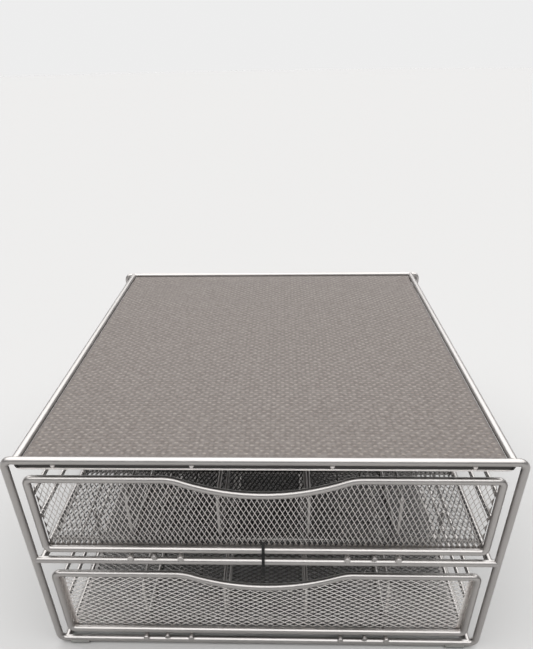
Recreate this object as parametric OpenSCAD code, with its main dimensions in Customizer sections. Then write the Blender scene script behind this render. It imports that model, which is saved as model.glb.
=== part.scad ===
// Two-tier wire storage case for coffee pods: a case of round steel wire with a matted top,
// and two mesh drawers that slide out of its front.
// Millimetres. X is the width, the fronts face -Y, and Z is up from the surface it stands on.

/* [Case] */
// Outer width of the case over its wires
case_w = 318; // [280:1:360]
// Outer depth of the case over its wires
case_d = 328; // [280:1:360]
// Diameter of the wire of the front and rear frames and their middle bars
frame_wire_d = 5; // [4.5:0.5:7]
// Centre-line radius of the frames' corner bends
frame_bend_r = 5; // [4.5:0.5:16]
// Diameter of the four side bars that join the frames
side_bar_d = 5; // [4:0.5:5.5]
// Gap between a side bar and the inner face of the frame's post
side_bar_gap = 0.5; // [0:0.1:1]

/* [Feet] */
// Length of a foot along the bottom bar
foot_len = 14; // [8:1:24]
// Wall of a foot
foot_wall = 1; // [0.8:0.1:2]
// Gap between a foot and the side bar next to it
foot_gap = 0.5; // [0.3:0.1:20]

/* [Top] */
// Diameter of the rim wires along the sides of the top
rim_d = 5; // [4:0.5:6]
// Distance of a rim wire's centre from the outer side of the case
rim_inset = 10; // [9.5:0.5:14]
// Thickness of the sheet under the mat
plate_t = 1; // [0.8:0.1:1.5]
// Height of the top bar's centre above the sheet
plate_drop = 3; // [2:0.5:4]
// Distance that the sheet's turned-down edge reaches below the sheet
flange_drop = 4; // [3.2:0.1:5]
// Diameter of the hem along the turned-down edge
hem_d = 1.4; // [1.2:0.1:2]
// Corner radius of the turned-down edge
flange_corner_r = 3; // [1.5:0.5:3.5]
// Thickness of the mat
mat_t = 3.2; // [2:0.1:4]
// Corner radius of the mat
mat_corner_r = 3; // [1:0.5:8]
// Diameter of the wires that carry the sheet
support_d = 3; // [2.5:0.1:3]
// Spacing of the wires that carry the sheet
support_pitch = 85.3; // [70:0.1:88]

/* [Runners] */
// Diameter of the case's runner wires
runner_d = 3; // [2.5:0.1:4]
// Diameter of the weld bead under each end of a runner wire
runner_bead_d = 4.2; // [3:0.1:5]
// Distance of the inner runner wires from the middle
runner_inner_x = 56; // [40:1:65]
// Distance of the outer runner wires from the middle
runner_outer_x = 90; // [80:1:110]
// Depth that a welded wire sinks into the wire that it crosses
weld_sink = 0.3; // [0.1:0.05:0.5]
// Clearance between a drawer and the runners under it
slide_gap = 0.3; // [0.3:0.05:1]

/* [Drawers] */
// Gap between a drawer's front loop and the frame's post on each side
loop_side_gap = 4; // [2:0.5:20]
// Distance of a closed drawer's front loop behind the plane of the front frame
drawer_recess = 2.5; // [0:0.5:6]
// Height of a front loop between the centres of its rails
loop_h = 61; // [56:0.5:75]
// Gap from the upper drawer's front loop up to the hem of the sheet's turned-down edge
loop_top_gap = 5.3; // [3:0.1:20]
// Diameter of the wire of the front loop
loop_wire_d = 5; // [4:0.5:5]
// Centre-line radius of the loop's upper corners
loop_top_r = 4; // [3:0.5:14]
// Centre-line radius of the loop's lower corners
loop_low_r = 4; // [3:0.5:6]
// Gap between a tray's back wire and the rear frame
tray_back_gap = 5; // [3:1:50]
// Diameter of the wire round the tray
border_d = 4; // [3:0.5:5]
// Centre-line radius of the tray's back corners
tray_corner_r = 10; // [7:0.5:24]
// Diameter of the wires across the underside of the tray
cross_d = 3; // [2:0.5:3.5]
// Distance of the first cross wire from the plane of the front loop
cross_first = 11; // [9:1:30]
// Spacing of the cross wires
cross_pitch = 72; // [50:1:90]
// Diameter of the guide wires under the tray
guide_d = 2.6; // [2:0.1:3]
// Diameter of the bead at the front end of a guide wire
guide_bead_d = 3.4; // [3:0.1:4]
// Distance of the guide wires from the middle
guide_x = 74; // [68:1:78]

/* [Guard rails] */
// Diameter of the guard rails round the sides and back of a drawer
guard_d = 3; // [2:0.5:4]
// Height of the lower guard rail above the front loop's bottom rail
guard_low = 26; // [18:1:32]
// Height of the upper guard rail above the front loop's bottom rail
guard_high = 46; // [40:1:50]
// Diameter of the posts that carry the guard rails
post_d = 3; // [2:0.5:4]
// Distance of the first side post behind the front loop
post_first = 79; // [50:1:90]
// Distance from the first side post to the second
post_pitch = 150; // [100:1:190]
// Distance of the back posts from the middle
post_back_x = 75; // [40:1:110]

/* [Dividers] */
// Number of dividers in a drawer
divider_count = 4; // [2:1:5]
// Spacing of the dividers
divider_pitch = 60; // [56:1:64]
// Diameter of the divider wire
divider_wire_d = 2.5; // [2:0.1:3]
// Height of a divider between wire centres
divider_h = 35; // [25:1:44]
// Centre-line radius of a divider's corners
divider_bend_r = 6; // [4:0.5:10]
// Clearance at each end of a divider
divider_end_gap = 4; // [1:0.5:12]

/* [Mesh] */
// Thickness of the mesh
mesh_t = 1; // [0.8:0.1:1.5]
// Width of the strip along the edges of the mesh
mesh_edge = 2.5; // [1.5:0.5:4]
// Width of a strand
strand = 1.6; // [1:0.1:2.4]
// Long way of a front panel's diamonds
front_long = 19; // [18:0.5:24]
// Short way of a front panel's diamonds
front_short = 9.6; // [9:0.2:12]
// Long way of the tray floor's diamonds
floor_long = 36; // [34:1:44]
// Short way of the tray floor's diamonds
floor_short = 20; // [19:0.5:24]

/* [Finger dip] */
// Half of the width of the dip in a drawer's top rail
dip_half = 62; // [45:1:80]
// Depth of the dip
dip_depth = 12.6; // [6:0.1:16]
// Radius of the bends where the dip starts
dip_bend_r = 25; // [15:1:40]

/* [Packing tie] */
// Width of the tie
tie_w = 2; // [1:0.1:3]
// Thickness of the tie
tie_t = 0.8; // [0.5:0.1:1]
// Distance of the tie from the middle, to the left
tie_x = 0.3; // [0:0.1:10]
// Length that the tie's tail hangs under the bar
tie_tail = 13; // [4:1:16]

/* [Hidden] */
$fn = 48;

// Runners: heights above the bar that they lie on
frame_r = frame_wire_d / 2;
runner_lift = frame_r + runner_d / 2 - weld_sink;
slide_lift = runner_lift + runner_d / 2 + slide_gap;

// Drawers: heights above the bar that they stand over
loop_r = loop_wire_d / 2;
rail_lift = slide_lift + loop_r;
border_lift = slide_lift + border_d / 2;
cross_lift = slide_lift + cross_d / 2;
floor_lift = slide_lift + cross_d;
guide_lift = slide_lift + weld_sink - guide_d / 2;
guide_bead_lift = frame_r + slide_gap + guide_bead_d / 2;
loop_top_lift = rail_lift + loop_h + loop_r;

// Case: one level holds a drawer and, at the top, the sheet with its turned-down edge
level_pitch = loop_top_lift + loop_top_gap + hem_d / 2 + flange_drop + plate_t + plate_drop;
frame_x = case_w / 2 - frame_r;
frame_y = case_d / 2 - frame_r;
low_z = frame_r + foot_wall;
top_z = low_z + 2 * level_pitch;
side_bar_x = frame_x - frame_r - side_bar_gap - side_bar_d / 2;
rim_x = case_w / 2 - rim_inset;
foot_x = side_bar_x - side_bar_d / 2 - foot_gap - foot_len / 2;

// Top
plate_z = top_z - plate_drop - plate_t;
plate_x = rim_x - rim_d / 2;
plate_y = frame_y - frame_r;
flange_x = frame_x - frame_r - flange_corner_r;
fit_gap = 0.2;
support_z = plate_z - support_d / 2;

// Drawers: widths and depths
loop_x = frame_x - frame_r - loop_side_gap - loop_r;
loop_y = drawer_recess - frame_y;
tray_y = frame_y - frame_r - tray_back_gap - border_d / 2;
tray_depth = tray_y - loop_y;
mesh_y = loop_y + loop_r;
floor_y = mesh_y + mesh_t + fit_gap;
cross_count = floor((tray_depth - cross_first - border_d) / cross_pitch) + 1;
post_x = loop_x - guard_d / 2 - post_d / 2;
post_y = tray_y - guard_d / 2 - post_d / 2;
post_base = floor_lift + mesh_t;
divider_lift = post_base + divider_wire_d / 2;
divider_front = floor_y + divider_end_gap;
divider_back = post_y - post_d / 2 - divider_end_gap;

// Finger dip: a bend at each shoulder and one long arc, tangent where they meet
dip_angle = 2 * atan(dip_depth / dip_half);
dip_r = dip_half / sin(dip_angle) - dip_bend_r;

// A ball this much wider than the wire closes the joint of two of the dip's arcs
arc_joint = 0.02;

tiers = ["lower", "upper"];
silver = [0.72, 0.71, 0.69];
mesh_grey = [0.6, 0.59, 0.57];
taupe = [0.5, 0.46, 0.44];

// Height of the shelf bar that a drawer stands over
function bar_z(tier) = low_z + (tier == "upper" ? level_pitch : 0);

// Drop of the top rail's centre line at a distance from the middle
function dip(x) =
    let (a = abs(x))
    a >= dip_half ? 0
    : a > dip_r * sin(dip_angle) ? sqrt(dip_bend_r ^ 2 - (dip_half - a) ^ 2) - dip_bend_r
    : dip_r - dip_depth - sqrt(dip_r ^ 2 - a ^ 2);

// Round wire along X, Y or Z, centred on its middle
module wire_x(len, d) rotate([0, 90, 0]) cylinder(h = len, d = d, center = true);
module wire_y(len, d) rotate([90, 0, 0]) cylinder(h = len, d = d, center = true);
module wire_z(len, d) cylinder(h = len, d = d, center = true);

// Bend in the XZ plane about the origin, from one angle to another
module bend(r, d, from, to) {
    rotate([90, 0, 0]) rotate([0, 0, from]) rotate_extrude(angle = to - from)
        translate([r, 0]) circle(d = d);
}

// Closed loop with round corners in the XZ plane, w by h between wire centres
module ring(w, h, r, d) {
    for (side = [-1, 1]) {
        translate([side * w / 2, 0, 0]) wire_z(h - 2 * r, d);
        translate([0, 0, side * h / 2]) wire_x(w - 2 * r, d);
    }
    translate([w / 2 - r, 0, h / 2 - r]) bend(r, d, 0, 90);
    translate([r - w / 2, 0, h / 2 - r]) bend(r, d, 90, 180);
    translate([r - w / 2, 0, r - h / 2]) bend(r, d, 180, 270);
    translate([w / 2 - r, 0, r - h / 2]) bend(r, d, 270, 360);
}

// Bottom rail, lower corners and sides of a drawer's front loop
module loop_base() {
    side_h = loop_h - loop_top_r - loop_low_r;
    translate([0, loop_y, rail_lift]) {
        wire_x(2 * (loop_x - loop_low_r), loop_wire_d);
        for (side = [-1, 1]) translate([side * loop_x, 0, loop_low_r + side_h / 2])
            wire_z(side_h, loop_wire_d);
        translate([loop_x - loop_low_r, 0, loop_low_r]) bend(loop_low_r, loop_wire_d, 270, 360);
        translate([loop_low_r - loop_x, 0, loop_low_r]) bend(loop_low_r, loop_wire_d, 180, 270);
    }
}

// Upper corners, shoulders and finger dip of a drawer's front loop
module loop_top() {
    shoulder = loop_x - loop_top_r - dip_half;
    translate([0, loop_y, rail_lift + loop_h]) {
        translate([loop_x - loop_top_r, 0, -loop_top_r]) bend(loop_top_r, loop_wire_d, 0, 90);
        translate([loop_top_r - loop_x, 0, -loop_top_r]) bend(loop_top_r, loop_wire_d, 90, 180);
        for (side = [-1, 1]) translate([side * (dip_half + shoulder / 2), 0, 0])
            wire_x(shoulder, loop_wire_d);
        translate([dip_half, 0, -dip_bend_r]) bend(dip_bend_r, loop_wire_d, 90, 90 + dip_angle);
        translate([-dip_half, 0, -dip_bend_r]) bend(dip_bend_r, loop_wire_d, 90 - dip_angle, 90);
        translate([0, 0, dip_r - dip_depth])
            bend(dip_r, loop_wire_d, 270 - dip_angle, 270 + dip_angle);
        for (side = [-1, 1])
            translate([side * dip_r * sin(dip_angle), 0, dip_r * (1 - cos(dip_angle)) - dip_depth])
            sphere(d = loop_wire_d + arc_joint);
    }
}

// Wire bent round the sides and back of a tray, from the front loop
module tray_wire(lift, d) {
    difference() {
        translate([0, 0, lift]) {
            for (side = [-1, 1]) translate([side * loop_x, (loop_y + tray_y - tray_corner_r) / 2, 0])
                wire_y(tray_depth - tray_corner_r, d);
            translate([0, tray_y, 0]) wire_x(2 * (loop_x - tray_corner_r), d);
            translate([loop_x - tray_corner_r, tray_y - tray_corner_r, 0])
                rotate_extrude(angle = 90) translate([tray_corner_r, 0]) circle(d = d);
            translate([tray_corner_r - loop_x, tray_y - tray_corner_r, 0]) rotate([0, 0, 90])
                rotate_extrude(angle = 90) translate([tray_corner_r, 0]) circle(d = d);
        }
        loop_base();
    }
}

// Diamond holes over w by h, one of them centred on the origin
module diamonds(w, h, across, up) {
    cols = ceil(w / across);
    rows = ceil(h / up);
    for (i = [-cols:cols], j = [-rows:rows])
        if ((i + j) % 2 == 0 && abs(i) * across / 2 < w / 2 && abs(j) * up / 2 < h / 2)
            translate([i * across / 2, j * up / 2])
            polygon([[across / 2 - strand, 0], [0, up / 2 - strand],
                [strand - across / 2, 0], [0, strand - up / 2]]);
}

// Mesh panel: an outline, with diamonds inside its edge strip
module mesh_panel(w, h, across, up) {
    color(mesh_grey) linear_extrude(mesh_t) difference() {
        children(0);
        intersection() {
            children(1);
            diamonds(w, h, across, up);
        }
    }
}

// Outline of a front panel, inset from the loop's centre line
module front_outline(inset) {
    x = loop_x - guard_d / 2 - 0.5 - inset;
    steps = 24;
    polygon(concat(
        [[-x, inset], [x, inset], [x, loop_h - loop_top_r], [x - loop_top_r / 2, loop_h - inset]],
        [for (i = [steps:-1:-steps]) let (u = i * dip_half / steps) [u, loop_h - inset + dip(u)]],
        [[loop_top_r / 2 - x, loop_h - inset], [-x, loop_h - loop_top_r]]));
}

// Outline of a tray floor, inside the wire round it
module floor_outline(inset) {
    x = loop_x - border_d / 2 - inset;
    y = tray_y - border_d / 2 - inset;
    corner = max(tray_corner_r - border_d / 2 - inset, 0.5);
    polygon(concat(
        [[-x, floor_y + inset], [x, floor_y + inset]],
        [for (a = [0:15:90]) [x - corner + corner * cos(a), y - corner + corner * sin(a)]],
        [for (a = [90:15:180]) [corner - x + corner * cos(a), y - corner + corner * sin(a)]]));
}

// Frames and bars

module frame(side) {
    color(silver) translate([0, side * frame_y, (low_z + top_z) / 2])
        ring(2 * frame_x, 2 * level_pitch, frame_bend_r, frame_wire_d);
}

module mid_bar(side) {
    color(silver) difference() {
        translate([0, side * frame_y, low_z + level_pitch]) wire_x(2 * frame_x, frame_wire_d);
        frame(side);
    }
}

module side_bar(side, z) {
    color(silver) difference() {
        translate([side * side_bar_x, 0, z]) wire_y(2 * frame_y, side_bar_d);
        for (end = [-1, 1]) {
            frame(end);
            translate([0, end * frame_y, z]) wire_x(2 * frame_x, frame_wire_d);
        }
    }
}

// Half sleeve under a bottom bar
module foot(side, end) {
    d = frame_wire_d + 2 * foot_wall;
    color("dimgray") translate([side * foot_x, end * frame_y, low_z]) difference() {
        wire_x(foot_len, d);
        wire_x(foot_len + 1, frame_wire_d);
        translate([0, 0, d / 2]) cube([foot_len + 1, d + 1, d], center = true);
    }
}

// Top

module rim_wire(side) {
    color(silver) difference() {
        translate([side * rim_x, 0, top_z]) wire_y(2 * frame_y, rim_d);
        for (end = [-1, 1]) frame(end);
    }
}

module support_wires() {
    color(silver) for (i = [-1.5:1.5]) translate([i * support_pitch, 0, support_z]) {
        wire_y(2 * plate_y, support_d);
        for (end = [-1, 1]) translate([0, end * plate_y, 0]) sphere(d = support_d);
    }
}

// Hem along the bottom and round the corners of the turned-down edge
module hem() {
    wire_x(2 * (flange_x - flange_corner_r), hem_d);
    translate([flange_x - flange_corner_r, 0, flange_corner_r]) bend(flange_corner_r, hem_d, 270, 360);
    translate([flange_corner_r - flange_x, 0, flange_corner_r]) bend(flange_corner_r, hem_d, 180, 270);
}

// Turned-down edge of the sheet, at its front or back
module flange(end) {
    translate([0, end * (plate_y - plate_t / 2), plate_z - flange_drop]) rotate([90, 0, 0])
        linear_extrude(plate_t, center = true) {
            translate([flange_corner_r - flange_x, 0])
                square([2 * (flange_x - flange_corner_r), flange_drop]);
            translate([-flange_x, flange_corner_r])
                square([2 * flange_x, flange_drop - flange_corner_r]);
            for (side = [-1, 1]) translate([side * (flange_x - flange_corner_r), flange_corner_r])
                circle(r = flange_corner_r);
        }
}

module top_plate() {
    color(silver) difference() {
        union() {
            translate([-plate_x, -plate_y, plate_z]) cube([2 * plate_x, 2 * plate_y, plate_t]);
            for (end = [-1, 1]) {
                flange(end);
                translate([0, end * plate_y, plate_z - flange_drop]) hem();
            }
        }
        support_wires();
    }
}

module top_mat() {
    x = plate_x - fit_gap;
    y = plate_y - fit_gap;
    color(taupe) translate([0, 0, plate_z + plate_t]) linear_extrude(mat_t) {
        square([2 * (x - mat_corner_r), 2 * y], center = true);
        square([2 * x, 2 * (y - mat_corner_r)], center = true);
        for (i = [-1, 1], j = [-1, 1])
            translate([i * (x - mat_corner_r), j * (y - mat_corner_r)]) circle(r = mat_corner_r);
    }
}

// Runners

module runners(z) {
    bead_drop = (runner_bead_d - runner_d) / 2 + weld_sink;
    color(silver) difference() {
        for (side = [-1, 1], x = [runner_inner_x, runner_outer_x])
            translate([side * x, 0, z + runner_lift]) {
                wire_y(2 * frame_y, runner_d);
                for (end = [-1, 1]) translate([0, end * frame_y, 0]) {
                    sphere(d = runner_d);
                    translate([0, 0, -bead_drop]) sphere(d = runner_bead_d);
                }
            }
        for (end = [-1, 1]) translate([0, end * frame_y, z]) wire_x(2 * frame_x, frame_wire_d);
    }
}

// Drawer pieces, each at the height of its shelf bar

module front_loop() {
    color(silver) {
        loop_base();
        loop_top();
    }
}

module front_mesh(tier) {
    across = tier == "upper" ? front_short : front_long;
    up = tier == "upper" ? front_long : front_short;
    translate([0, mesh_y + mesh_t, rail_lift]) rotate([90, 0, 0])
        mesh_panel(2 * loop_x, 2 * loop_h, across, up) {
            front_outline(0);
            front_outline(mesh_edge);
        }
}

module tray_border() color(silver) tray_wire(border_lift, border_d);

module tray_mesh() {
    translate([0, 0, floor_lift]) mesh_panel(2 * loop_x, 2 * tray_depth, floor_long, floor_short) {
        floor_outline(0);
        floor_outline(mesh_edge);
    }
}

module cross_wires() {
    color(silver) difference() {
        for (i = [0:cross_count - 1])
            translate([0, loop_y + cross_first + i * cross_pitch, cross_lift])
            wire_x(2 * loop_x - border_d + 2 * weld_sink, cross_d);
        tray_wire(border_lift, border_d);
    }
}

module guide_wires() {
    front = loop_y - loop_r - fit_gap;
    back = tray_y - border_d;
    color(silver) difference() {
        for (side = [-1, 1]) translate([side * guide_x, 0, 0]) {
            translate([0, (front + back) / 2, guide_lift]) wire_y(back - front, guide_d);
            translate([0, front, guide_bead_lift]) sphere(d = guide_bead_d);
        }
        for (i = [0:cross_count - 1])
            translate([0, loop_y + cross_first + i * cross_pitch, cross_lift])
            wire_x(2 * loop_x, cross_d);
        translate([0, loop_y, rail_lift]) wire_x(2 * (loop_x - loop_low_r), loop_wire_d);
    }
}

module guard_rail(height) color(silver) tray_wire(rail_lift + height, guard_d);

module guard_posts() {
    top = rail_lift + guard_high + guard_d / 2;
    color(silver) translate([0, 0, (post_base + top) / 2]) {
        for (side = [-1, 1]) {
            for (i = [0, 1]) translate([side * post_x, loop_y + post_first + i * post_pitch, 0])
                wire_z(top - post_base, post_d);
            translate([side * post_back_x, post_y, 0]) wire_z(top - post_base, post_d);
        }
    }
}

module divider(i) {
    color(silver) translate([(i - (divider_count + 1) / 2) * divider_pitch,
        (divider_front + divider_back) / 2, divider_lift + divider_h / 2])
        rotate([0, 0, 90])
        ring(divider_back - divider_front - divider_wire_d, divider_h, divider_bend_r, divider_wire_d);
}

// Direction square to a route at one of its points
function across(route, i) =
    let (step = route[min(i + 1, len(route) - 1)] - route[max(i - 1, 0)])
    [-step[1], step[0]] / norm(step);

// Flat tie over the bottom rail and the bar under it, with its tail hanging below the bar
module packing_tie() {
    front = -loop_r - fit_gap - tie_t / 2;
    bar = -drawer_recess;
    route = [
        [loop_r - fit_gap - tie_t, rail_lift + loop_r + 3.5],
        [0, rail_lift + loop_r + 2.2],
        [0.8 - loop_r, rail_lift + loop_r + 0.4],
        [front, rail_lift + 1.5],
        [front - 0.2, rail_lift - 2],
        [bar - frame_r - fit_gap - tie_t, 2],
        [bar - frame_r - fit_gap - tie_t, -1],
        [bar - frame_r, -frame_r - tie_t],
        [bar - 0.7 * frame_r, -frame_r - tie_t - 0.2 * tie_tail],
        [bar - 0.5 * frame_r, -frame_r - tie_t - 0.5 * tie_tail],
        [bar, -frame_r - tie_t - 0.8 * tie_tail],
        [bar + 0.15 * tie_tail, -frame_r - tie_t - tie_tail]];
    last = len(route) - 1;
    color("black") translate([-tie_x, loop_y, 0]) rotate([90, 0, 90])
        linear_extrude(tie_w, center = true) polygon(concat(
            [for (i = [0:last]) route[i] + across(route, i) * tie_t / 2],
            [for (i = [last:-1:0]) route[i] - across(route, i) * tie_t / 2]));
}

frame(-1);  // front_frame
frame(1);  // rear_frame
mid_bar(-1);  // front_mid_bar
mid_bar(1);  // rear_mid_bar
side_bar(-1, low_z + level_pitch);  // mid_side_bar_left
side_bar(1, low_z + level_pitch);  // mid_side_bar_right
side_bar(-1, low_z);  // low_side_bar_left
side_bar(1, low_z);  // low_side_bar_right
rim_wire(-1);  // rim_wire_left
rim_wire(1);  // rim_wire_right
runners(low_z + level_pitch);  // mid_runners
runners(low_z);  // low_runners
support_wires();
top_plate();
top_mat();
foot(-1, -1);  // foot_front_left
foot(1, -1);  // foot_front_right
foot(-1, 1);  // foot_rear_left
foot(1, 1);  // foot_rear_right
for (tier = tiers) translate([0, 0, bar_z(tier)]) {
    front_loop();
    front_mesh(tier);
    tray_border();
    tray_mesh();
    cross_wires();
    guide_wires();
    guard_rail(guard_low);
    guard_rail(guard_high);
    guard_posts();
    for (i = [1:divider_count])
        divider(i);
}
translate([0, 0, bar_z("upper")]) packing_tie();
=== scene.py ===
"""Coffee pod drawer: a wire case with a matted top and two mesh drawers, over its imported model.

Metres. X is the width, the fronts face -Y, and Z is up from the surface it stands on.
"""

import math

import bmesh
import bpy
from mathutils import Matrix, Vector


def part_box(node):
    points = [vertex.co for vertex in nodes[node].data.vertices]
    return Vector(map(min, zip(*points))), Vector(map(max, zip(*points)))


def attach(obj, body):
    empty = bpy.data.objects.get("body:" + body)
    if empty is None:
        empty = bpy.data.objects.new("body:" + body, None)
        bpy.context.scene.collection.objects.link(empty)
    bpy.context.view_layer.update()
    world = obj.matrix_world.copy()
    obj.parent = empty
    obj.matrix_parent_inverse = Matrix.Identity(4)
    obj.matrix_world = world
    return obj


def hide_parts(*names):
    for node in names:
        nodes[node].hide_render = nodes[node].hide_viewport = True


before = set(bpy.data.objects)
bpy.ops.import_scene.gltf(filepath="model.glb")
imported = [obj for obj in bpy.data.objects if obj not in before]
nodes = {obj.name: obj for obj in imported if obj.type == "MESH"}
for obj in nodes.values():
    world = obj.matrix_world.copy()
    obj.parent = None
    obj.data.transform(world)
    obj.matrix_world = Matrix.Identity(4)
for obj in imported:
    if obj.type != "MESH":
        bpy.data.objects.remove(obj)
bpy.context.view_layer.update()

# ---------------------------------------------------------------------------
# Case frames: two closed loops of 5 mm steel wire, bent at the corners and joined by straight bars
# and rim wires. The wire is butt welded, ground flush and powder coated in a satin silver.
# ---------------------------------------------------------------------------


def toned(colour, share):
    """A paint's colour made lighter or darker, with the alpha that a socket wants."""
    return [share * c for c in colour] + [1]


def powder_coat(name, colour, roughness, grain_mm, grain_height):
    """Silver paint with fine metal flake: a slight orange peel, and patches a little duller."""
    coat = bpy.data.materials.new(name)
    coat.use_nodes = True
    tree = coat.node_tree
    shader = tree.nodes["Principled BSDF"]
    shader.inputs["Metallic"].default_value = 1
    shader.inputs["Specular IOR Level"].default_value = 0.5
    place = tree.nodes.new("ShaderNodeTexCoord")

    peel = tree.nodes.new("ShaderNodeTexNoise")
    peel.inputs["Scale"].default_value = 1000 / grain_mm
    peel.inputs["Detail"].default_value = 3
    tree.links.new(place.outputs["Object"], peel.inputs["Vector"])
    relief = tree.nodes.new("ShaderNodeBump")
    relief.inputs["Strength"].default_value = 0.6
    relief.inputs["Distance"].default_value = grain_height
    tree.links.new(peel.outputs["Fac"], relief.inputs["Height"])
    tree.links.new(relief.outputs["Normal"], shader.inputs["Normal"])

    unevenness = 0.07
    patches = tree.nodes.new("ShaderNodeTexNoise")
    patches.inputs["Scale"].default_value = 45
    patches.inputs["Detail"].default_value = 4
    tree.links.new(place.outputs["Object"], patches.inputs["Vector"])
    dulling = tree.nodes.new("ShaderNodeMapRange")
    dulling.inputs["To Min"].default_value = roughness - unevenness
    dulling.inputs["To Max"].default_value = roughness + unevenness
    tree.links.new(patches.outputs["Fac"], dulling.inputs["Value"])
    tree.links.new(dulling.outputs["Result"], shader.inputs["Roughness"])

    flake_share = 0.35
    flake = tree.nodes.new("ShaderNodeTexVoronoi")
    flake.inputs["Scale"].default_value = 3200
    tree.links.new(place.outputs["Object"], flake.inputs["Vector"])
    tone = tree.nodes.new("ShaderNodeMixRGB")
    tone.inputs["Color1"].default_value = toned(colour, 0.88)
    tone.inputs["Color2"].default_value = toned(colour, 1.1)
    speckle = tree.nodes.new("ShaderNodeMath")
    speckle.operation = "MULTIPLY_ADD"
    speckle.inputs[1].default_value = flake_share
    tree.links.new(flake.outputs["Distance"], speckle.inputs[0])
    tree.links.new(patches.outputs["Fac"], speckle.inputs[2])
    tree.links.new(speckle.outputs["Value"], tone.inputs["Fac"])
    tree.links.new(tone.outputs["Color"], shader.inputs["Base Color"])
    return coat


def coat_node(name, material):
    """Gives a carried-over CAD node its finish."""
    piece = nodes[name]
    piece.data.materials.clear()
    piece.data.materials.append(material)


frame_silver = powder_coat("frame_silver", (0.39, 0.374, 0.363), roughness=0.36, grain_mm=1.4,
                           grain_height=0.00006)
for name in ("front_frame", "rear_frame", "front_mid_bar", "rear_mid_bar", "mid_side_bar_left",
             "mid_side_bar_right", "low_side_bar_left", "low_side_bar_right", "rim_wire_left",
             "rim_wire_right"):
    coat_node(name, frame_silver)

# ---------------------------------------------------------------------------
# Feet: four short half sleeves of grey rubber, split along their length, clipped up over the
# bottom bars beside the corners and glued, so that the case doesn't scratch the counter.
# ---------------------------------------------------------------------------


def moulded(name, colour, roughness, shine, grain_mm):
    """Matt moulded rubber or plastic, with a fine grain and a slightly uneven tone."""
    skin = bpy.data.materials.new(name)
    skin.use_nodes = True
    tree = skin.node_tree
    shader = tree.nodes["Principled BSDF"]
    shader.inputs["Roughness"].default_value = roughness
    shader.inputs["Specular IOR Level"].default_value = shine
    place = tree.nodes.new("ShaderNodeTexCoord")
    grain = tree.nodes.new("ShaderNodeTexNoise")
    grain.inputs["Scale"].default_value = 1000 / grain_mm
    grain.inputs["Detail"].default_value = 5
    tree.links.new(place.outputs["Object"], grain.inputs["Vector"])
    tone = tree.nodes.new("ShaderNodeMixRGB")
    tone.inputs["Color1"].default_value = toned(colour, 0.8)
    tone.inputs["Color2"].default_value = toned(colour, 1.15)
    tree.links.new(grain.outputs["Fac"], tone.inputs["Fac"])
    tree.links.new(tone.outputs["Color"], shader.inputs["Base Color"])
    relief = tree.nodes.new("ShaderNodeBump")
    relief.inputs["Strength"].default_value = 0.5
    relief.inputs["Distance"].default_value = 0.00008
    tree.links.new(grain.outputs["Fac"], relief.inputs["Height"])
    tree.links.new(relief.outputs["Normal"], shader.inputs["Normal"])
    return skin


sleeve_rubber = moulded("sleeve_rubber", (0.22, 0.22, 0.21), roughness=0.62, shine=0.35,
                        grain_mm=0.8)
for name in ("foot_front_left", "foot_front_right", "foot_rear_left", "foot_rear_right"):
    coat_node(name, sleeve_rubber)

# ---------------------------------------------------------------------------
# Support wires and top plate: four thin wires from front to back carry a pressed steel sheet, whose
# front and back edges are turned down and hemmed. Both have the silver coat. Above each hem, the
# strip of the turned-down edge that lies in the bar's shadow is darkened with painted shade.
# ---------------------------------------------------------------------------

sheet_silver = powder_coat("sheet_silver", (0.8, 0.766, 0.744), roughness=0.34, grain_mm=2.2,
                           grain_height=0.00005)
# The last of these is the painted shade: how dark the fold above each hem is made, for the bar's
# shadow.
hem_height, sheet_edge, fold_shade_level = 0.0014, 0.0011, 0.07


def grey(level):
    """A neutral colour for a socket."""
    return (level, level, level, 1)


def shade_fold(coat, low, high):
    """Paints shade into a coat between two heights, for the shadow that the bar casts on the fold.
    """
    tree = coat.node_tree
    tone = tree.nodes["Principled BSDF"].inputs["Base Color"]
    place = tree.nodes.new("ShaderNodeTexCoord")
    height = tree.nodes.new("ShaderNodeSeparateXYZ")
    tree.links.new(place.outputs["Object"], height.inputs["Vector"])
    fold = tree.nodes.new("ShaderNodeMath")
    fold.operation = "COMPARE"
    fold.inputs[1].default_value = (low + high) / 2
    fold.inputs[2].default_value = (high - low) / 2
    tree.links.new(height.outputs["Z"], fold.inputs[0])
    painted_shade = tree.nodes.new("ShaderNodeMixRGB")
    painted_shade.blend_type = "MULTIPLY"
    painted_shade.inputs["Color2"].default_value = grey(fold_shade_level)
    tree.links.new(fold.outputs["Value"], painted_shade.inputs["Fac"])
    tree.links.new(tone.links[0].from_socket, painted_shade.inputs["Color1"])
    tree.links.new(painted_shade.outputs["Color"], tone)


sheet_low, sheet_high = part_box("top_plate")
# Painted shade: the band between the hem and the sheet's top is darkened, standing in for the bar's
# shadow.
shade_fold(sheet_silver, sheet_low.z + hem_height, sheet_high.z - sheet_edge)
coat_node("top_plate", sheet_silver)
support_silver = powder_coat("support_silver", (0.75, 0.718, 0.698), roughness=0.34, grain_mm=1.2,
                             grain_height=0.00005)
coat_node("support_wires", support_silver)

# ---------------------------------------------------------------------------
# Top mat: a taupe vinyl mat laid on the sheet, with rounded corners and a softened top edge. Its
# face is embossed with staggered rows of low pips, each a little wider than it is long.
# ---------------------------------------------------------------------------

mat_low, mat_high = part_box("top_mat")
mat_corner_r, mat_edge_r = 0.003, 0.0009
pip_height, pip_sink = 0.0003, 0.0001
pip_foot_r, pip_crest_r, pip_oval = 0.0016, 0.0009, (1.12, 0.7, 1)
pip_across, pip_along = 0.00633, 0.0055
pip_counts = ((46, 57), (45, 56))  # the second set stands in the gaps of the first
mat_face = mat_high.z - pip_height
hair = 1e-6  # anything closer than this counts as touching


def soften(shape, edges, reach, segments):
    """Rounds some edges over."""
    bmesh.ops.bevel(shape, geom=edges, offset=reach, offset_type="OFFSET", affect="EDGES",
                    segments=segments, profile=0.5, material=-1)


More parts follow.
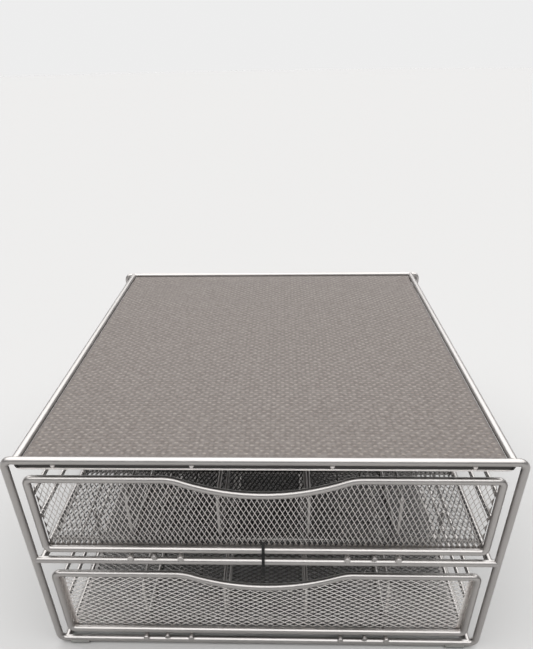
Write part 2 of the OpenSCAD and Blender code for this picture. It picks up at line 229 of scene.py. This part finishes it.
def stamp_pips(columns, rows):
    """Rows of pips, centred on the mat: each is a low oval cone, its foot sunk into the face."""
    depth = pip_height + pip_sink
    pips = bmesh.new()
    bmesh.ops.create_cone(pips, cap_ends=True, segments=8, radius1=pip_foot_r,
                          radius2=pip_crest_r, depth=depth)
    bmesh.ops.scale(pips, vec=pip_oval, verts=pips.verts)
    first = ((1 - columns) * pip_across / 2, (1 - rows) * pip_along / 2, mat_high.z - depth / 2)
    bmesh.ops.translate(pips, vec=first, verts=pips.verts)
    for count, step in ((columns, (pip_across, 0, 0)), (rows, (0, pip_along, 0))):
        bmesh.ops.spin(pips, geom=pips.verts[:] + pips.edges[:] + pips.faces[:], cent=(0, 0, 0),
                       axis=(0, 0, 1), angle=0, dvec=step, steps=count - 1, use_duplicate=True)
    return pips


def embossed_vinyl():
    """Mottled taupe vinyl: glossy pips with painted highlights, and painted shade between them."""
    vinyl = bpy.data.materials.new("embossed_vinyl")
    vinyl.use_nodes = True
    tree = vinyl.node_tree
    shader = tree.nodes["Principled BSDF"]
    shader.inputs["Specular IOR Level"].default_value = 0.45
    place = tree.nodes.new("ShaderNodeTexCoord")

    mottle = tree.nodes.new("ShaderNodeTexNoise")
    mottle.inputs["Scale"].default_value = 420
    mottle.inputs["Detail"].default_value = 8
    tree.links.new(place.outputs["Object"], mottle.inputs["Vector"])
    tone = tree.nodes.new("ShaderNodeValToRGB")
    dark, light = tone.color_ramp.elements
    dark.position, dark.color = 0.36, (0.086, 0.071, 0.063, 1)
    light.position, light.color = 0.64, (0.135, 0.118, 0.107, 1)
    tree.links.new(mottle.outputs["Fac"], tone.inputs["Fac"])

    height = tree.nodes.new("ShaderNodeSeparateXYZ")
    tree.links.new(place.outputs["Object"], height.inputs["Vector"])
    crest = tree.nodes.new("ShaderNodeMapRange")
    crest.inputs["From Min"].default_value = mat_face
    crest.inputs["From Max"].default_value = mat_high.z
    tree.links.new(height.outputs["Z"], crest.inputs["Value"])
    # Painted light: the pip crests are painted lighter and the face between the pips darker, as
    # highlights and shade.
    painted_crest_light = tree.nodes.new("ShaderNodeMixRGB")
    painted_crest_light.inputs["Color1"].default_value = (0.88, 0.88, 0.89, 1)
    painted_crest_light.inputs["Color2"].default_value = (1.38, 1.36, 1.32, 1)
    tree.links.new(crest.outputs["Result"], painted_crest_light.inputs["Fac"])
    painted_pip_shading = tree.nodes.new("ShaderNodeMixRGB")
    painted_pip_shading.blend_type = "MULTIPLY"
    painted_pip_shading.inputs["Fac"].default_value = 1
    tree.links.new(tone.outputs["Color"], painted_pip_shading.inputs["Color1"])
    tree.links.new(painted_crest_light.outputs["Color"], painted_pip_shading.inputs["Color2"])
    tree.links.new(painted_pip_shading.outputs["Color"], shader.inputs["Base Color"])
    sheen = tree.nodes.new("ShaderNodeMapRange")
    sheen.inputs["To Min"].default_value = 0.62
    sheen.inputs["To Max"].default_value = 0.42
    tree.links.new(crest.outputs["Result"], sheen.inputs["Value"])
    tree.links.new(sheen.outputs["Result"], shader.inputs["Roughness"])

    grain = tree.nodes.new("ShaderNodeTexNoise")
    grain.inputs["Scale"].default_value = 1500
    grain.inputs["Detail"].default_value = 3
    tree.links.new(place.outputs["Object"], grain.inputs["Vector"])
    relief = tree.nodes.new("ShaderNodeBump")
    relief.inputs["Strength"].default_value = 0.4
    relief.inputs["Distance"].default_value = 0.0001
    tree.links.new(grain.outputs["Fac"], relief.inputs["Height"])
    tree.links.new(relief.outputs["Normal"], shader.inputs["Normal"])
    return vinyl


def add_piece(name, shape, material, body, smooth_angle=None):
    """Finishes a bmesh as an object that rides on a body and has its finish from a slot."""
    mesh = bpy.data.meshes.new(name)
    shape.to_mesh(mesh)
    shape.free()
    mesh.materials.append(material)
    piece = bpy.data.objects.new(name, mesh)
    bpy.context.scene.collection.objects.link(piece)
    if smooth_angle is not None:
        mesh.shade_smooth()
        mesh.set_sharp_from_angle(angle=math.radians(smooth_angle))
    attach(piece, body)
    return piece


mat_shape = bmesh.new()
bmesh.ops.create_cube(mat_shape, size=1)
mat_size = (mat_high.x - mat_low.x, mat_high.y - mat_low.y, mat_face - mat_low.z)
bmesh.ops.scale(mat_shape, vec=mat_size, verts=mat_shape.verts)
bmesh.ops.translate(mat_shape, vec=(0, 0, (mat_face + mat_low.z) / 2), verts=mat_shape.verts)
upright = [e for e in mat_shape.edges if abs(e.verts[0].co.z - e.verts[1].co.z) > hair]
soften(mat_shape, upright, mat_corner_r, segments=5)
top_edge = [e for e in mat_shape.edges if all(v.co.z > mat_face - hair for v in e.verts)]
soften(mat_shape, top_edge, mat_edge_r, segments=3)
for columns, rows in pip_counts:
    stamped = stamp_pips(columns, rows)
    stamped_mesh = bpy.data.meshes.new("stamped_pips")
    stamped.to_mesh(stamped_mesh)
    stamped.free()
    mat_shape.from_mesh(stamped_mesh)
    bpy.data.meshes.remove(stamped_mesh)
mat_piece = add_piece("embossed_mat", mat_shape, embossed_vinyl(), "case", smooth_angle=50)
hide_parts("top_mat")

# ---------------------------------------------------------------------------
# Runners: four thin wires a level, laid front to back over the bars and spot welded, on which the
# drawers slide. Their cut ends show as small nubs above the front bars.
# ---------------------------------------------------------------------------

runner_silver = powder_coat("runner_silver", (0.5, 0.479, 0.465), roughness=0.36, grain_mm=1,
                            grain_height=0.00005)
coat_node("mid_runners", runner_silver)
coat_node("low_runners", runner_silver)

runner_columns = (-0.09, -0.056, 0.056, 0.09)
runner_end_r, runner_end_depth = 0.0021, 0.0026
runner_end_front, runner_end_rise = -0.164, 0.0034
rim_softening = 0.0005


def wire_ends(name, columns, radius, depth, front, height, material, body):
    """Flat round ends of wires along Y, each with a softened rim, swollen a little by the weld."""
    facing = Matrix.Rotation(math.radians(90), 4, "X")
    ends = bmesh.new()
    for x in columns:
        place = Matrix.Translation((x, front + depth / 2, height))
        bmesh.ops.create_cone(ends, cap_ends=True, segments=24, radius1=radius, radius2=radius,
                              depth=depth, matrix=place @ facing)
    rims = [e for e in ends.edges if all(v.co.y < front + hair for v in e.verts)]
    soften(ends, rims, rim_softening, segments=3)
    return add_piece(name, ends, material, body, smooth_angle=40)


for level in ("mid", "low"):
    bar_low, bar_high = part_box(level + "_side_bar_left")
    bar_height = (bar_low.z + bar_high.z) / 2
    wire_ends(level + "_runner_ends", runner_columns, runner_end_r, runner_end_depth,
              runner_end_front, bar_height + runner_end_rise, runner_silver, "case")

# ---------------------------------------------------------------------------
# Drawer front loops: 5 mm wire bent to a rounded rectangle, its top rail dipped in the middle so
# that fingers can get behind it. The coat is a little brighter than the case's.
# ---------------------------------------------------------------------------

loop_silver = powder_coat("loop_silver", (0.41, 0.393, 0.381), roughness=0.35, grain_mm=1.3,
                          grain_height=0.00006)
for tier in ("lower", "upper"):
    coat_node(tier + "_front_loop", loop_silver)

# ---------------------------------------------------------------------------
# Drawer front meshes: thin steel sheet, slit and stretched into diamonds, so each strand leans like
# a slat. The upper one has its diamonds upright and the lower one has them level. Both are welded
# behind their loops, and their top edges follow the dip.
# ---------------------------------------------------------------------------

# Painted highlight: both are the same silver coat made much lighter than the frame's, so the thin
# strands look lit.
mesh_silver_painted_highlight = powder_coat("mesh_silver_painted_highlight", (0.6, 0.575, 0.558), roughness=0.38, grain_mm=0.9,
                          grain_height=0.00003)
lower_silver_painted_highlight = powder_coat("lower_silver_painted_highlight", (0.95, 0.91, 0.883), roughness=0.38, grain_mm=0.9,
                           grain_height=0.00003)

upright_diamond = (0.0036, 0.00755)
level_diamond = (0.0071, 0.00415)
sheet_gauge = 0.00022
corner_across_mm, corner_down_mm = 4, 8
dip_half, dip_depth, shoulder_r, dip_steps = 0.062, 0.0126, 0.025, 12
dip_angle = 2 * math.atan(dip_depth / dip_half)
dip_r = dip_half / math.sin(dip_angle) - shoulder_r
snap = 1e-7


def trim(shape, point, outward, faces=None):
    """Cuts away what lies beyond a plane, from the whole sheet or from some of its faces."""
    faces = shape.faces[:] if faces is None else faces
    edges = dict.fromkeys(e for f in faces for e in f.edges)
    verts = dict.fromkeys(v for f in faces for v in f.verts)
    bmesh.ops.bisect_plane(shape, geom=[*faces, *edges, *verts], dist=snap, plane_co=point,
                           plane_no=outward, clear_outer=True)


def diamond_lattice(width, depth, diamond):
    """Flat lattice of diamonds in the XY plane, centred on the origin, trimmed to a rectangle."""
    across, along = diamond
    shape = bmesh.new()
    cells = math.ceil(width / across + depth / along) + 2
    bmesh.ops.create_grid(shape, x_segments=cells, y_segments=cells, size=cells / 2)
    bmesh.ops.rotate(shape, matrix=Matrix.Rotation(math.radians(45), 3, "Z"), verts=shape.verts)
    stretch = (across / math.sqrt(2), along / math.sqrt(2), 1)
    bmesh.ops.scale(shape, vec=stretch, verts=shape.verts)
    for outward, reach in (((1, 0, 0), width / 2), ((-1, 0, 0), width / 2),
                           ((0, 1, 0), depth / 2), ((0, -1, 0), depth / 2)):
        trim(shape, Vector(outward) * reach, outward)
    return shape


def open_diamonds(shape, diamond, strand, lean):
    """Opens the diamonds that the trimming left mostly whole. The strands lean like slats."""
    mostly = 0.6 * diamond[0] * diamond[1] / 2
    openings = [f for f in shape.faces if f.calc_area() > mostly]
    bmesh.ops.inset_individual(shape, faces=openings, thickness=strand / 2,
                               use_even_offset=True)
    for opening in openings:
        middle = opening.calc_center_median()
        for vert in opening.verts:
            vert.co.z += lean @ (vert.co - middle)
    bmesh.ops.delete(shape, geom=openings, context="FACES")


def thicken(shape):
    """Gives a flat sheet its gauge, half to each side."""
    bmesh.ops.recalc_face_normals(shape, faces=shape.faces)
    bmesh.ops.solidify(shape, geom=shape.faces[:], thickness=sheet_gauge)
    low = min(v.co.z for v in shape.verts)
    high = max(v.co.z for v in shape.verts)
    bmesh.ops.translate(shape, vec=(0, 0, -(low + high) / 2), verts=shape.verts)


def dip_drop(x):
    """How far the top rail lies under its ends: a dip between two shoulders bent the other way."""
    x = abs(x)
    if x >= dip_half:
        return 0
    if x > dip_r * math.sin(dip_angle):
        return shoulder_r - math.sqrt(shoulder_r**2 - (dip_half - x) ** 2)
    return dip_depth - dip_r + math.sqrt(dip_r**2 - x**2)


def follow_dip(shape, top):
    """Trims a sheet's top edge to the dip, a strip at a time, and closes the strips' seams."""
    stops = [dip_half * i / dip_steps for i in range(-dip_steps, dip_steps + 1)]
    for x in stops:
        bmesh.ops.bisect_plane(shape, geom=shape.faces[:] + shape.edges[:] + shape.verts[:],
                               dist=snap, plane_co=(x, 0, 0), plane_no=(1, 0, 0))
    for left, right in zip(stops, stops[1:]):
        start = Vector((left, top - dip_drop(left), 0))
        run = Vector((right, top - dip_drop(right), 0)) - start
        strip = [f for f in shape.faces if left < f.calc_center_median().x < right]
        trim(shape, start, (-run.y, run.x, 0), strip)
    seams = [e for e in shape.edges if len(e.link_faces) == 2
             and any(all(abs(v.co.x - x) < hair for v in e.verts) for x in stops)]
    bmesh.ops.dissolve_edges(shape, edges=seams, use_verts=True)


def front_mesh(tier, diamond, strand, lean, coat):
    """Builds a drawer's front lying flat, trims its corners and dip, and stands it upright."""
    low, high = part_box(tier + "_front_mesh")
    width, height = high.x - low.x, high.z - low.z
    shape = diamond_lattice(width, height, diamond)
    for side in (-1, 1):
        corner = Vector((side * (width / 2 - corner_across_mm / 1000), height / 2, 0))
        trim(shape, corner, (side * corner_down_mm, corner_across_mm, 0))
    follow_dip(shape, height / 2)
    open_diamonds(shape, diamond, strand, lean)
    thicken(shape)
    bmesh.ops.rotate(shape, matrix=Matrix.Rotation(math.radians(90), 3, "X"), verts=shape.verts)
    middle = (0, (low.y + high.y) / 2, (low.z + high.z) / 2)
    bmesh.ops.translate(shape, vec=middle, verts=shape.verts)
    piece = add_piece(tier + "_mesh_front", shape, coat, tier + "_drawer")
    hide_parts(tier + "_front_mesh")


front_mesh("upper", upright_diamond, strand=0.00045, lean=Vector((0.12, 0, 0)), coat=mesh_silver_painted_highlight)
front_mesh("lower", level_diamond, strand=0.00043, lean=Vector((0, 0.09, 0)), coat=lower_silver_painted_highlight)

# ---------------------------------------------------------------------------
# Tray borders, cross wires and guide wires: the wires under and round each mesh floor. The border
# runs from the front loop round the sides and back. The guides keep the tray between its runners,
# and their ends show under the front loop.
# ---------------------------------------------------------------------------

tray_silver = powder_coat("tray_silver", (0.36, 0.345, 0.335), roughness=0.37, grain_mm=1.1,
                          grain_height=0.00005)
guide_columns = (-0.074, 0.074)
guide_end_r, guide_end_depth = 0.0019, 0.0012
guide_end_reach, guide_end_rise = 0.0003, 0.0017
for tier in ("lower", "upper"):
    for part in ("_tray_border", "_cross_wires", "_guide_wires"):
        coat_node(tier + part, tray_silver)
    guide_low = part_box(tier + "_guide_wires")[0]
    wire_ends(tier + "_guide_ends", guide_columns, guide_end_r, guide_end_depth,
              guide_low.y - guide_end_reach, guide_low.z + guide_end_rise, tray_silver,
              tier + "_drawer")

# ---------------------------------------------------------------------------
# Tray floors: stretched mesh with broader strands, laid level on the cross wires and welded inside
# the border. Each floor's diamonds run the same way as its front's. Their silver is painted far
# darker than the fronts', as painted shade under the top plate.
# ---------------------------------------------------------------------------

# Painted shade: the same silver coat as the fronts, made much darker for the shade under the top
# plate.
floor_silver_painted_shade = powder_coat("floor_silver_painted_shade", (0.15, 0.144, 0.14), roughness=0.42, grain_mm=0.9,
                           grain_height=0.00003)


def tray_floor(tier, diamond, strand, lean):
    """Builds a drawer's floor in place of the CAD's coarser one."""
    low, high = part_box(tier + "_tray_mesh")
    shape = diamond_lattice(high.x - low.x, high.y - low.y, diamond)
    open_diamonds(shape, diamond, strand, lean)
    thicken(shape)
    bmesh.ops.translate(shape, vec=(low + high) / 2, verts=shape.verts)
    piece = add_piece(tier + "_mesh_floor", shape, floor_silver_painted_shade, tier + "_drawer")
    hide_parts(tier + "_tray_mesh")


tray_floor("upper", upright_diamond, strand=0.0009, lean=Vector((0.2, 0, 0)))
tray_floor("lower", level_diamond, strand=0.0011, lean=Vector((0, -0.22, 0)))

# ---------------------------------------------------------------------------
# Guard rails, posts and dividers: thin wires round the sides and back of each tray, and the upright
# loops that part its columns. All are spot welded to the wires of the tray.
# ---------------------------------------------------------------------------

# Painted highlight: the same silver coat made lighter than the frame's, so the thin wires look lit.
thin_silver_painted_highlight = powder_coat("thin_silver_painted_highlight", (0.48, 0.46, 0.446), roughness=0.38, grain_mm=0.9,
                          grain_height=0.00004)
for tier in ("lower", "upper"):
    for part in ("_guard_rail_low", "_guard_rail_high", "_guard_posts", "_divider_1",
                 "_divider_2", "_divider_3", "_divider_4"):
        coat_node(tier + part, thin_silver_painted_highlight)

# ---------------------------------------------------------------------------
# Packing tie: a narrow black plastic strip that comes through the mesh of the upper front and down
# over its bottom rail, in front of the bar below, with its cut tail curled under the bar.
# ---------------------------------------------------------------------------

tie_black = moulded("tie_black", (0.01, 0.01, 0.01), roughness=0.55, shine=0.2, grain_mm=1.5)
coat_node("packing_tie", tie_black)

# ---------------------------------------------------------------------------
# Floor, light and camera: a pale seamless floor under a wide soft ceiling light, seen from the
# place where the straight wires put the photograph's camera.
# ---------------------------------------------------------------------------

ground = bmesh.new()
bmesh.ops.create_circle(ground, cap_ends=True, segments=96, radius=12)
ground_mesh = bpy.data.meshes.new("studio_floor")
ground.to_mesh(ground_mesh)
ground.free()
floor_paint = bpy.data.materials.new("floor_paint")
floor_paint.use_nodes = True
floor_shader = floor_paint.node_tree.nodes["Principled BSDF"]
floor_shader.inputs["Base Color"].default_value = (0.4, 0.397, 0.394, 1)
floor_shader.inputs["Roughness"].default_value = 0.9
floor_shader.inputs["Specular IOR Level"].default_value = 0
ground_mesh.materials.append(floor_paint)
studio_floor = bpy.data.objects.new("studio_floor", ground_mesh)
bpy.context.scene.collection.objects.link(studio_floor)

room = bpy.data.worlds.new("soft_room")
bpy.context.scene.world = room
room.use_nodes = True
sky = room.node_tree
direction = sky.nodes.new("ShaderNodeTexCoord")
ceiling = sky.nodes.new("ShaderNodeVectorMath")
ceiling.operation = "DOT_PRODUCT"
ceiling.inputs[1].default_value = (0, 0.156, 0.988)  # nearly overhead, a little to the back
sky.links.new(direction.outputs["Generated"], ceiling.inputs[0])
split = sky.nodes.new("ShaderNodeSeparateXYZ")
sky.links.new(direction.outputs["Generated"], split.inputs["Vector"])
forward = sky.nodes.new("ShaderNodeMath")
forward.operation = "MULTIPLY"
forward.inputs[1].default_value = -1
sky.links.new(split.outputs["Y"], forward.inputs[0])


def band(source, *stops):
    """Level of light for each height or depth of a direction, between stops."""
    ramp = sky.nodes.new("ShaderNodeValToRGB")
    marks = ramp.color_ramp.elements
    marks.remove(marks[0])
    marks[0].position, marks[0].color = stops[0][0], grey(stops[0][1])
    for position, level in stops[1:]:
        marks.new(position).color = grey(level)
    sky.links.new(source, ramp.inputs["Fac"])
    return ramp.outputs["Color"]


def added(one, other):
    """The sum of two lights."""
    total = sky.nodes.new("ShaderNodeMixRGB")
    total.blend_type = "ADD"
    total.inputs["Fac"].default_value = 1
    sky.links.new(one, total.inputs["Color1"])
    sky.links.new(other, total.inputs["Color2"])
    return total.outputs["Color"]


ceiling_light = band(ceiling.outputs["Value"], (0.47, 0), (0.58, 2.8))
low_light = band(split.outputs["Z"], (0.085, 0.85), (0.12, 0.12))
front_light = band(forward.outputs["Value"], (0.3, 0), (0.7, 0.1))
seen = sky.nodes.new("ShaderNodeLightPath")
backdrop = sky.nodes.new("ShaderNodeMixRGB")
backdrop.inputs["Color2"].default_value = grey(0.85)
sky.links.new(seen.outputs["Is Camera Ray"], backdrop.inputs["Fac"])
lights = added(added(ceiling_light, low_light), front_light)
sky.links.new(lights, backdrop.inputs["Color1"])
sky.links.new(backdrop.outputs["Color"], sky.nodes["Background"].inputs["Color"])

photo_height_px, focal_px, shift_px, sensor_mm = 649, 563.8, 75.5, 36
camera_data = bpy.data.cameras.new("photo_camera")
camera_data.sensor_fit = "VERTICAL"
camera_data.sensor_height = sensor_mm
camera_data.lens = focal_px * sensor_mm / photo_height_px
camera_data.shift_y = shift_px / photo_height_px
camera_data.clip_start = 0.01
camera = bpy.data.objects.new("photo_camera", camera_data)
camera.location = (0.01263, -0.42628, 0.38385)
camera.rotation_euler = [math.radians(a) for a in (57.9063, 0.8218, 1.4247)]
bpy.context.scene.collection.objects.link(camera)
bpy.context.scene.camera = camera
bpy.context.scene.view_settings.view_transform = "Standard"
